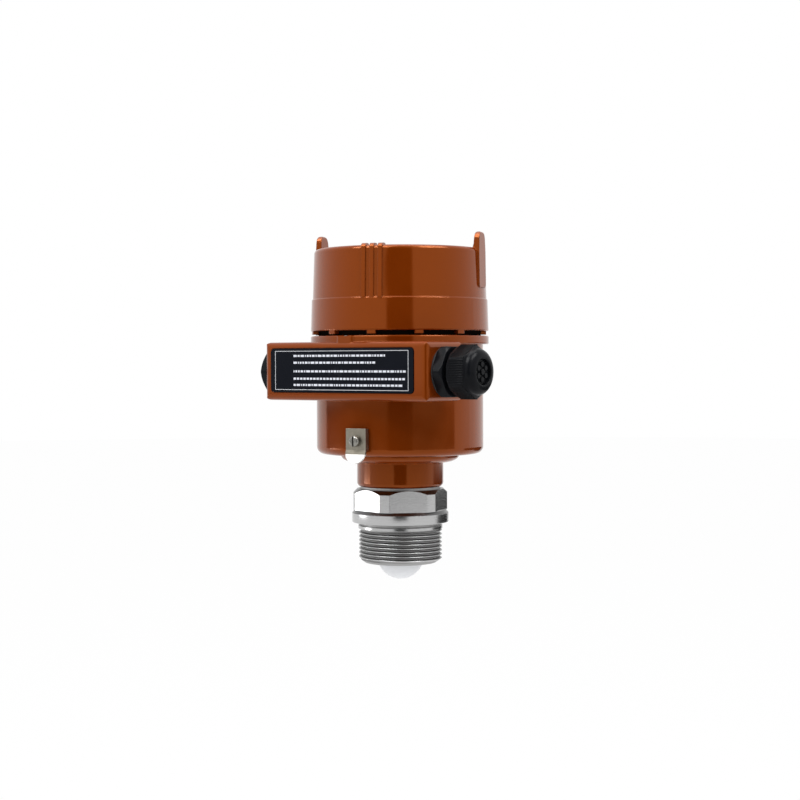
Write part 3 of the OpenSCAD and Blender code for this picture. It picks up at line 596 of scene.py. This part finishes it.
# %% Gland nut
nut_low, nut_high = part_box("gland_nut")
nut_axis = (nut_low + nut_high) / 2
nut_flat = (nut_high.y - nut_low.y) / 2
NUT_L = nut_high.x - nut_low.x
LOBE_R, DOME_R, HOLE_R, BORE_R = 14.65 * MM, 12.5 * MM, 7.0 * MM, 10.1 * MM
DOME_L, DOME_STEPS, DOME_SWEEP = 4.1 * MM, 8, 78
DOME_START = NUT_L - DOME_L
LEAD_IN, SHOULDER, LIP_W, LIP_EDGE = 1.7 * MM, 1.2 * MM, 0.7 * MM, 0.3 * MM
START_OVER, END_FLAT, HOLE_L = 0.2 * MM, 0.5 * MM, 3.6 * MM
NUT_STEPS = 96
RIB_COUNT = 11
RIB_H, RIB_W, RIB_ROUND = 0.72 * MM, 0.8 * MM, 0.3 * MM
PANEL_W, PANEL_L = 12.6 * MM, 9.6 * MM
PANEL_START = 1.3 * MM


def nut_profile():
    """The closed profile of the nut as turned, as distance along the axis and radius."""
    outside = [(0, nut_flat + START_OVER), (LEAD_IN, LOBE_R), (DOME_START - SHOULDER, LOBE_R),
               (DOME_START, DOME_R)]
    for i in range(1, DOME_STEPS + 1):
        angle = math.radians(90 - i * DOME_SWEEP / DOME_STEPS)
        outside.append((DOME_START + DOME_L * math.cos(angle),
                        HOLE_R + LIP_W + (DOME_R - HOLE_R - LIP_W) * math.sin(angle)))
    return outside + [(NUT_L, HOLE_R + END_FLAT), (NUT_L - LIP_EDGE, HOLE_R),
                      (NUT_L - HOLE_L, HOLE_R), (NUT_L - HOLE_L, BORE_R), (0, BORE_R)]


bm = bmesh.new()
chain = [bm.verts.new((along, -reach, 0)) for along, reach in nut_profile()]
edges = [bm.edges.new(pair) for pair in zip(chain, chain[1:] + chain[:1])]
bmesh.ops.spin(bm, geom=chain + edges, cent=(0, 0, 0), axis=(1, 0, 0), steps=NUT_STEPS, dvec=(0, 0, 0),
               angle=math.tau, use_merge=True, use_duplicate=False)
bmesh.ops.remove_doubles(bm, verts=bm.verts[:], dist=CLOSE)
for flat in range(6):
    out = Matrix.Rotation(math.radians(60) * flat, 3, "X") @ Vector((0, -1, 0))
    cut = bmesh.ops.bisect_plane(bm, geom=bm.verts[:] + bm.edges[:] + bm.faces[:], dist=1e-7,
                                 plane_co=out * nut_flat, plane_no=out, clear_outer=True)
    rim = [item for item in cut["geom_cut"] if isinstance(item, bmesh.types.BMEdge)]
    bmesh.ops.edgeloop_fill(bm, edges=rim)
bmesh.ops.translate(bm, verts=bm.verts[:], vec=(nut_low.x, nut_axis.y, nut_axis.z))
nut = store("turned_gland_nut", bm, nylon, "gland_nut", sharp=24)
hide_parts("gland_nut")

bm = bmesh.new()
for flat in range(6):
    turn = Matrix.Rotation(math.radians(60) * flat, 4, "X")
    for i in range(RIB_COUNT):
        across = (i / (RIB_COUNT - 1) - 0.5) * PANEL_W
        bar = rounded_bar(bm, (PANEL_L, RIB_H, RIB_W), RIB_ROUND)
        place = Vector((nut_low.x + PANEL_START + PANEL_L / 2, -nut_flat, across))
        bmesh.ops.translate(bm, verts=bar, vec=place)
        bmesh.ops.transform(bm, verts=bar, matrix=turn)
        bmesh.ops.translate(bm, verts=bar, vec=(0, nut_axis.y, nut_axis.z))
store("gland_nut_ribs", bm, nylon, "gland_nut")

# %% [markdown]
# ## The label
# The label is a black enamelled plate with a thin pale line round its edge. What a real one would say
# is left off: rows of short plain bars stand where lines of print would be. The line is the ring that
# insetting a face leaves, so that its width is the same all round.

# %% Label
plate_low, plate_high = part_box("label_plate")
plate_centre = (plate_low + plate_high) / 2
PLATE_W = plate_high.x - plate_low.x
PLATE_H = plate_high.z - plate_low.z
LINE_INSET_X, LINE_INSET_Z = 3.2 * MM, 1.3 * MM
LINE_W = 0.4 * MM
PRINT_H = 0.05 * MM
# Each row's distance down the plate and its end along it, both in mm, and its pattern's first number
ROWS = ((4.1, 83.0, 7), (7.9, 74.6, 4), (12.7, 95.2, 9), (16.8, 95.2, 5), (20.3, 92.4, 8))
ROW_START, DASH_MIN, DASH_STEP, DASH_GAP = 16.6, 0.7, 0.2, 0.65
DASH_H = 1.15 * MM
upright = Matrix.Rotation(math.pi / 2, 4, "X")
plate_face = Matrix.Translation((plate_centre.x, plate_low.y, plate_centre.z)) @ upright


def border_ring():
    """The pale line, a thin raised ring."""
    bm = bmesh.new()
    size = Matrix.Diagonal((PLATE_W / 2 - LINE_INSET_X, PLATE_H / 2 - LINE_INSET_Z, 1, 1))
    bmesh.ops.create_grid(bm, x_segments=1, y_segments=1, size=1.0, matrix=size)
    outer = bm.faces[:]
    bmesh.ops.inset_region(bm, faces=outer, thickness=LINE_W, use_boundary=True)
    bmesh.ops.delete(bm, geom=outer, context="FACES")
    made = bmesh.ops.extrude_face_region(bm, geom=bm.faces[:])
    lifted = [item for item in made["geom"] if isinstance(item, bmesh.types.BMVert)]
    bmesh.ops.translate(bm, verts=lifted, vec=(0, 0, PRINT_H))
    bmesh.ops.transform(bm, verts=bm.verts[:], matrix=plate_face)
    return bm


store("label_line", border_ring(), print_grey, "root")

bm = bmesh.new()
for down, row_end, pattern in ROWS:
    along = ROW_START
    while True:
        pattern = (pattern * 7 + 3) % 11
        width = DASH_MIN + DASH_STEP * pattern
        if along + width > row_end:
            break
        size = Matrix.Diagonal((width * MM, PRINT_H, DASH_H, 1))
        place = Vector((plate_low.x + (along + width / 2) * MM, plate_low.y, plate_high.z - down * MM))
        bmesh.ops.create_cube(bm, size=1.0, matrix=Matrix.Translation(place) @ size)
        along += width + DASH_GAP
store("label_rows", bm, row_grey, "root")

# %% [markdown]
# ## Floor, backdrop and cards
# The object hangs in its own frame, 30 cm above a white floor that runs on into a white world, so no
# horizon shows. Camera, glossy and transmitted rays all see that white, and other rays see a dimmer
# room. Three dark curved cards that only reflections see give the gloss paint and the steel their dark
# bands: one stands behind the camera and two are low.

# %% Stage
FLOOR_DROP = 0.3
FLOOR_R = 8.0
FLOOR_GLOW = 0.98


def background_rays(tree, rays):
    """One for the rays that see the white background: the camera's, glossy and transmitted ones."""
    through = maths(tree, "MAXIMUM", rays.outputs["Is Glossy Ray"], rays.outputs["Is Transmission Ray"])
    return maths(tree, "MAXIMUM", rays.outputs["Is Camera Ray"], through)


def make_floor_material():
    """White to the rays that see the background. A fiftieth of the object's shadow is kept."""
    material, tree, shader = new_material("floor_white", Roughness=0.9)
    grain = use_group(tree, moulded_skin, Grain=300.0, Drift=8.0)
    tree.links.new(blend_colour(tree, grain.outputs["Tone"], (0.8, 0.8, 0.8, 1), (0.84, 0.84, 0.84, 1)),
                   shader.inputs["Base Color"])
    white = add_node(tree, "ShaderNodeEmission", {"Color": (1, 1, 1, 1), "Strength": 1.0})
    rays = add_node(tree, "ShaderNodeLightPath")
    seen = background_rays(tree, rays)
    mixed = add_node(tree, "ShaderNodeMixShader", {0: maths(tree, "MULTIPLY", seen, FLOOR_GLOW)})
    tree.links.new(shader.outputs[0], mixed.inputs[1])
    tree.links.new(white.outputs[0], mixed.inputs[2])
    tree.links.new(mixed.outputs[0], tree.nodes["Material Output"].inputs["Surface"])
    return material


def stage_piece(name, bm, material):
    """An object that belongs to the studio and not to the transmitter."""
    mesh = bpy.data.meshes.new(name)
    bm.to_mesh(mesh)
    bm.free()
    mesh.materials.append(material)
    piece = bpy.data.objects.new(name, mesh)
    scene.collection.objects.link(piece)
    return piece


def make_floor():
    """A wide round floor."""
    bm = bmesh.new()
    bmesh.ops.create_circle(bm, cap_ends=True, segments=64, radius=FLOOR_R)
    bmesh.ops.translate(bm, verts=bm.verts[:], vec=(0, 0, cad_low[2] - FLOOR_DROP))
    stage_piece("floor", bm, make_floor_material())


def make_card(name, grey, start, end, reach, low, high):
    """An upright curved card that only reflections see, between two azimuths from the camera's."""
    material, tree, shader = new_material(name, Roughness=1.0, Specular_IOR_Level=0.0)
    shader.inputs["Base Color"].default_value = (0, 0, 0, 1)
    shader.inputs["Emission Color"].default_value = (1, 1, 1, 1)
    shader.inputs["Emission Strength"].default_value = grey
    bm = bmesh.new()
    angle = CAMERA_AZIMUTH + math.radians(start)
    foot = Vector((reach * math.sin(angle), -reach * math.cos(angle), low))
    ends = [bm.verts.new(foot), bm.verts.new(foot + Vector((0, 0, high - low)))]
    edge = bm.edges.new(ends)
    bmesh.ops.spin(bm, geom=ends + [edge], cent=(0, 0, 0), axis=(0, 0, 1), steps=24,
                   angle=math.radians(end - start), use_merge=False, use_duplicate=False)
    card = stage_piece(name, bm, material)
    for kind in ("camera", "diffuse", "transmission", "volume_scatter", "shadow"):
        setattr(card, "visible_" + kind, False)


make_floor()
make_card("card_behind_camera", 0.01, -16.5, 16.5, 1.5, -0.33, 1.5)
make_card("card_low_right", 0.03, 98, 152, 1.0, -0.33, -0.035)
make_card("card_low_front", 0.06, -119, 78, 1.02, -0.022, 0.048)
print("floor at", round((cad_low[2] - FLOOR_DROP) / MM, 1), "mm")

# %% [markdown]
# ## World and lamps
# The world is the soft room. Two large soft boxes stand high on the left and right, one hangs
# overhead, and a thin strip stands low on the left. All four are area lamps aimed at the object.

# %% World and lamps
ROOM_LEVEL = 0.55
world = bpy.data.worlds.new("room")
world.use_nodes = True
scene.world = world
tree = world.node_tree
room = tree.nodes["Background"]
room.inputs["Color"].default_value = (1, 1, 1, 1)
rays = add_node(tree, "ShaderNodeLightPath")
level = maths(tree, "MAXIMUM", background_rays(tree, rays), ROOM_LEVEL)
tree.links.new(level, room.inputs["Strength"])


def soft_box(name, azimuth, elevation, distance, size, power):
    """An area lamp on a sphere round the object, aimed at its middle."""
    lamp = bpy.data.lights.new(name, "AREA")
    lamp.shape = "RECTANGLE"
    lamp.size, lamp.size_y = size
    lamp.energy = power
    holder = bpy.data.objects.new(name, lamp)
    angle = CAMERA_AZIMUTH + math.radians(azimuth)
    lift = math.radians(elevation)
    aim = Vector((0, 0, CAMERA_HEIGHT))
    out = Vector((math.sin(angle) * math.cos(lift), -math.cos(angle) * math.cos(lift), math.sin(lift)))
    holder.location = aim + out * distance
    holder.rotation_euler = out.to_track_quat("Z", "Y").to_euler()
    scene.collection.objects.link(holder)


soft_box("box_left", -50, 56, 1.5, (1.1, 0.7), 20)
soft_box("box_right", 58, 54, 1.5, (0.9, 0.6), 15)
soft_box("box_top", 180, 80, 1.5, (1.2, 0.8), 8)
soft_box("strip_left", -99, -9.6, 1.06, (0.4, 0.042), 0.6)
scene.view_settings.view_transform = "Standard"
